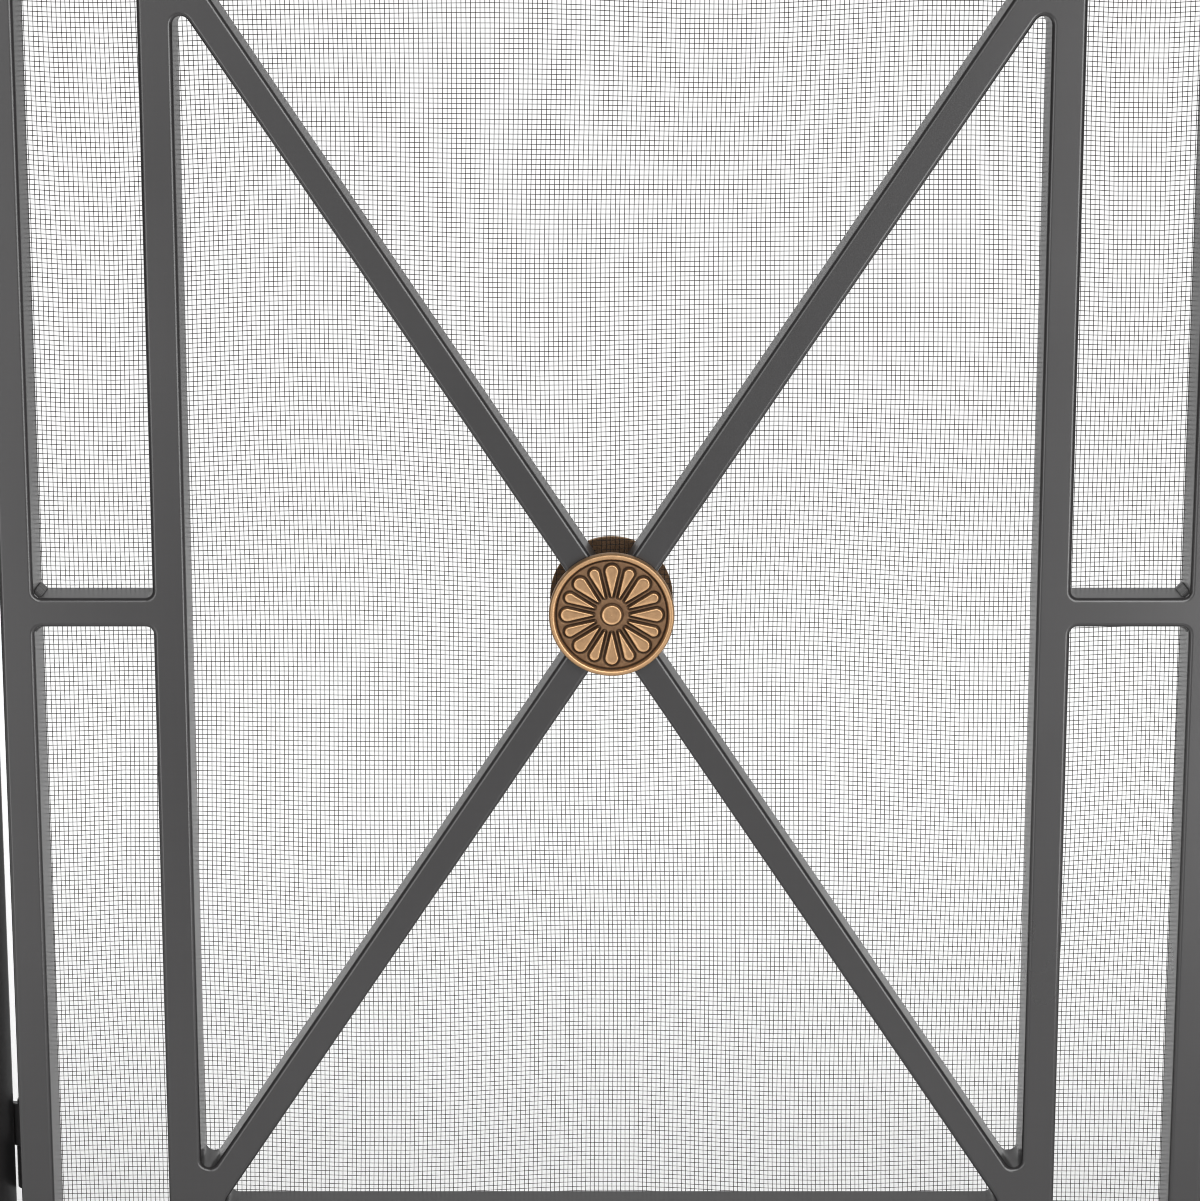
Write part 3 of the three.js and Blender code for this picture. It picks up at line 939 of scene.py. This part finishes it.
def aged_copper_material():
    """Dark patina with painted shade in the hollows, warm copper on what stands proud with painted
    highlights on its edges, and a fine grain.
    """
    material, tree, shader = new_material("aged_copper", 0.85, 0.5)
    # The bright attribute is the rubbing with painted highlights on the edges. The dark one is the patina
    # with painted shade in the hollows.
    bright = add_node(tree, "ShaderNodeAttribute", attribute_name="bright")
    dark = add_node(tree, "ShaderNodeAttribute", attribute_name="dark")
    mottle = texture(tree, "Noise", Scale=420.0, Detail=4.0, Roughness=0.6)
    grain = texture(tree, "Noise", Scale=2600.0, Detail=2.0)
    shifted = math_node(tree, "SUBTRACT", mottle_share / 2)
    rub_and_highlight_share = math_node(tree, "MULTIPLY_ADD", mottle_share, use_clamp=True)
    copper = add_node(tree, "ShaderNodeMix", data_type="RGBA", A=darkened_copper, B=rubbed_and_highlight_copper)
    # This mix lays on the dark patina together with the painted shade.
    patina = add_node(tree, "ShaderNodeMix", data_type="RGBA", B=patina_and_shade_colour)
    rough = add_node(tree, "ShaderNodeMapRange", To_Min=0.60, To_Max=0.36)
    bump = add_node(tree, "ShaderNodeBump", Strength=0.35, Distance=0.03 * MM)
    join(tree, (bright, "Fac", shifted, 0), (mottle, "Fac", rub_and_highlight_share, 0), (shifted, 0, rub_and_highlight_share, 2),
         (rub_and_highlight_share, 0, copper, "Factor"), (copper, "Result", patina, "A"),
         (dark, "Fac", patina, "Factor"), (patina, "Result", shader, "Base Color"),
         (rub_and_highlight_share, 0, rough, "Value"), (rough, "Result", shader, "Roughness"),
         (grain, "Fac", bump, "Height"), (bump, "Normal", shader, "Normal"))
    return material


aged_copper = aged_copper_material()
for node, facing in (("medallion_front", -1), ("medallion_rear", 1)):
    medallion(node, facing).data.materials.append(aged_copper)


# ---- Spacer and stud ------------------------------------------------------------------------
# The stud joins the two discs through the crossing. A turned spacer keeps the rear disc off
# the cloth. The stud is zinc-plated steel, hidden inside them.

zinc_dull = (0.315, 0.315, 0.3075, 1)
zinc_bright = (0.42, 0.42, 0.41, 1)


def zinc_plated_steel():
    """Zinc-plated steel, a little mottled."""
    material, tree, shader = new_material("zinc_plated_steel", 1.0, 0.5)
    mottle = texture(tree, "Noise", Scale=900.0, Detail=3.0)
    tone = add_node(tree, "ShaderNodeMix", data_type="RGBA", A=zinc_dull, B=zinc_bright)
    rough = add_node(tree, "ShaderNodeMapRange", To_Min=0.27, To_Max=0.45)
    join(tree, (mottle, "Fac", tone, "Factor"), (tone, "Result", shader, "Base Color"),
         (mottle, "Fac", rough, "Value"), (rough, "Result", shader, "Roughness"))
    return material


zinc = zinc_plated_steel()
stud_mesh = frame["nodes"]["medallion_stud"].data
stud_mesh.materials.clear()
stud_mesh.materials.append(zinc)

lathe_sides = 64
lathe_sharp_turn = math.radians(40)


def turned(name, profile, centre, axis="z"):
    """A piece turned on a lathe: (radius, height) pairs round an axis through centre. Pairs that
    start and end on the axis close it, and a profile that keeps off the axis makes a ring."""
    sides = lathe_sides
    hollow = profile[0][0] > 0
    points = []
    faces = []
    count = len(profile)
    for r, h in profile:
        for k in range(sides if r > 0 else 1):
            angle = 2 * math.pi * k / sides
            x, y = r * math.cos(angle), r * math.sin(angle)
            spot = (x, y, h) if axis == "z" else (x, h, -y)
            points.append([c + s for c, s in zip(centre, spot)])
    starts = np.concatenate([[0], np.cumsum([sides if r > 0 else 1 for r, _ in profile])])
    for i in range(count if hollow else count - 1):
        j = (i + 1) % count
        for k in range(sides):
            n = (k + 1) % sides
            if profile[i][0] == 0:
                faces.append((starts[i], starts[j] + n, starts[j] + k))
            elif profile[j][0] == 0:
                faces.append((starts[i] + k, starts[i] + n, starts[j]))
            else:
                faces.append((starts[i] + k, starts[i] + n, starts[j] + n, starts[j] + k))
    made = piece(name, points, [tuple(int(v) for v in f) for f in faces])
    made.modifiers.new("edges", "EDGE_SPLIT").split_angle = lathe_sharp_turn
    return made


spacer_low, spacer_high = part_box("medallion_spacer")
spacer_radius = (spacer_high.x - spacer_low.x) / 2
spacer_thick = spacer_high.y - spacer_low.y
spacer_bevel = 0.6 * MM
half_profile = [(stud_bore_radius, 0), (spacer_radius - spacer_bevel, 0), (spacer_radius, spacer_bevel)]
spacer = turned(
    "medallion_spacer_turned",
    half_profile + [(r, spacer_thick - h) for r, h in half_profile[::-1]],
    (target.x, spacer_low.y, target.z), axis="y")
spacer.data.materials.append(graphite)
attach(spacer, "centre_panel")
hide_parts("medallion_spacer")


# ---- Feet ---------------------------------------------------------------------------------
# Moulded rubber feet, whose stems are pushed up into the bottom rails. Each pad has a rounded
# sole edge, a groove round its waist and a bevelled top.

sole_edge = 1.2 * MM
foot_groove = 0.9 * MM
foot_bevel = 0.6 * MM
stem_radius = 3 * MM
gap_under_rail = 0.3 * MM
rubber_dark = (0.010, 0.010, 0.010, 1)
rubber_dusty = (0.028, 0.027, 0.026, 1)
rubber_roughness = 0.8


def rubber_material():
    """Black rubber with a fine moulded grain and a little dust."""
    material, tree, shader = new_material("foot_rubber", 0.0, 0.35)
    grain = texture(tree, "Noise", Scale=1400.0, Detail=3.0)
    dust = texture(tree, "Noise", Scale=130.0, Detail=3.0)
    tone = add_node(tree, "ShaderNodeMix", data_type="RGBA", A=rubber_dark, B=rubber_dusty)
    bump = add_node(tree, "ShaderNodeBump", Strength=0.5, Distance=0.05 * MM)
    join(tree, (dust, "Fac", tone, "Factor"), (tone, "Result", shader, "Base Color"),
         (grain, "Fac", bump, "Height"), (bump, "Normal", shader, "Normal"))
    shader.inputs["Roughness"].default_value = rubber_roughness
    return material


rubber = rubber_material()


def foot(node, body):
    """A foot: the pad below the rail and the stem inside it."""
    low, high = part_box(node)
    middle = (low + high) / 2
    r = (high.x - low.x) / 2
    under_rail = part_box("frame_rail_bottom")[0].z - low.z - gap_under_rail
    sole = [(r - sole_edge + sole_edge * math.sin(a), sole_edge * (1 - math.cos(a)))
            for a in np.linspace(0, math.pi / 2, 6)]
    waist = under_rail * 0.45
    groove = [(r - 0.2 * MM, waist), (r - foot_groove, waist + 0.5 * MM),
              (r - foot_groove, waist + 1.2 * MM), (r - 0.5 * MM, waist + 1.7 * MM)]
    top_edge = r - 1.3 * MM
    top = [(top_edge, under_rail - 0.5 * MM), (top_edge - foot_bevel, under_rail),
           (stem_radius, under_rail), (stem_radius, high.z - low.z), (0, high.z - low.z)]
    made = turned(node + "_moulded", [(0, 0)] + sole + groove + top, (middle.x, middle.y, low.z))
    made.data.materials.append(rubber)
    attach(made, body)
    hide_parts(node)


for node, body in (("foot_left", "centre_panel"), ("foot_right", "centre_panel"),
                   ("left_wing_foot", "left_wing"), ("right_wing_foot", "right_wing")):
    foot(node, body)


# ---- Barrel hinges --------------------------------------------------------------------------
# Each knuckle is rolled from flat bar, with its leaf welded to the back of a stile. A headed
# steel pin, fixed in the lower knuckle, holds the two together.

knuckle_radius = 5 * MM
leaf_thick = 3 * MM
knuckle_bevel = 0.5 * MM
knuckle_sides = 40  # along the outside of the rolled part
bore_radius = 2.7 * MM
bore_sides = 32
pin_radius = 2.5 * MM
pin_bevel = 0.4 * MM
pin_head_rim = 1 * MM
pin_head_dome = 2 * MM
knuckle_sharp_turn = math.radians(35)


def knuckle(node, body, joint_name):
    """A knuckle with its leaf, as an outline seen from above, drawn out along the pin."""
    turn = panels[body][1]
    low, high = opened(node, turn)
    pin = Vector(joint_named(joint_name)["pos_m"])
    towards = 1 if (low.x + high.x) / 2 > pin.x else -1
    reach = high.x - pin.x if towards > 0 else pin.x - low.x
    meet = math.asin((knuckle_radius - leaf_thick) / knuckle_radius)
    outline = [(knuckle_radius * math.cos(a), knuckle_radius * math.sin(a))
               for a in np.linspace(-math.pi / 2, -2 * math.pi - meet, knuckle_sides)]
    leaf_end = [(reach, leaf_thick - knuckle_radius), (reach, -knuckle_radius)]
    sides = len(outline) + len(leaf_end)
    hole = [(bore_radius * math.cos(a), bore_radius * math.sin(a))
            for a in np.linspace(0, 2 * math.pi, bore_sides, endpoint=False)]
    points = []
    faces = []
    levels = ((low.z, knuckle_bevel), (low.z + knuckle_bevel, 0),
              (high.z - knuckle_bevel, 0), (high.z, knuckle_bevel))
    for z, inset in levels:
        shrink = 1 - inset / knuckle_radius
        spots = [(x * shrink, y * shrink) for x, y in outline]
        spots += [(x - inset, y - side * inset) for (x, y), side in zip(leaf_end, (1, -1))]
        points += [(pin.x + towards * x, pin.y + y, z) for x, y in spots]
    for level in range(len(levels) - 1):
        for k in range(sides):
            a = level * sides + k
            b = level * sides + (k + 1) % sides
            faces.append((a, b, b + sides, a + sides))
    first = len(points)
    for z in (low.z, high.z):
        for x, y in hole:
            points.append((pin.x + towards * x, pin.y + y, z))
    for k in range(bore_sides):
        a, b = first + k, first + (k + 1) % bore_sides
        faces.append((a, a + bore_sides, b + bore_sides, b))
    for level, hole_first in ((0, first), (len(levels) - 1, first + bore_sides)):
        ring = [level * sides + k for k in range(sides)]
        inner = [hole_first + k for k in range(bore_sides)]
        flat = [[Vector((points[i][0], points[i][1], 0)) for i in part] for part in (ring, inner)]
        lookup = ring + inner
        for tri in tessellate_polygon(flat):
            faces.append(tuple(lookup[i] for i in tri))
    made = piece(node + "_rolled", points, faces, None, turn)
    bpy.context.view_layer.objects.active = made
    made.select_set(True)
    bpy.ops.object.mode_set(mode="EDIT")
    bpy.ops.mesh.select_all(action="SELECT")
    bpy.ops.mesh.normals_make_consistent(inside=False)
    bpy.ops.object.mode_set(mode="OBJECT")
    made.select_set(False)
    made.modifiers.new("edges", "EDGE_SPLIT").split_angle = knuckle_sharp_turn
    made.data.materials.append(graphite)
    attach(made, body)
    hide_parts(node)


def hinge_pin(node):
    """A pin with a domed head."""
    low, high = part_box(node)
    middle = (low + high) / 2
    head = (high.x - low.x) / 2
    length = high.z - low.z
    under_head = length - pin_head_rim - pin_head_dome
    dome = [(head * math.cos(a), under_head + pin_head_rim + pin_head_dome * math.sin(a))
            for a in np.linspace(0, math.pi / 2, 8)]
    dome[-1] = (0, length)
    profile = [(0, 0), (pin_radius - pin_bevel, 0), (pin_radius, pin_bevel),
               (pin_radius, under_head), (head, under_head)] + dome
    made = turned(node + "_turned", profile, (middle.x, middle.y, low.z))
    made.data.materials.append(zinc)
    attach(made, "centre_panel")
    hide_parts(node)


for side in ("left", "right"):
    for place in ("upper", "lower"):
        knuckle(f"knuckle_{side}_{place}", "centre_panel", f"{side}_wing_fold")
        knuckle(f"{side}_wing_knuckle_{place}", f"{side}_wing", f"{side}_wing_fold")
        hinge_pin(f"hinge_pin_{side}_{place}")
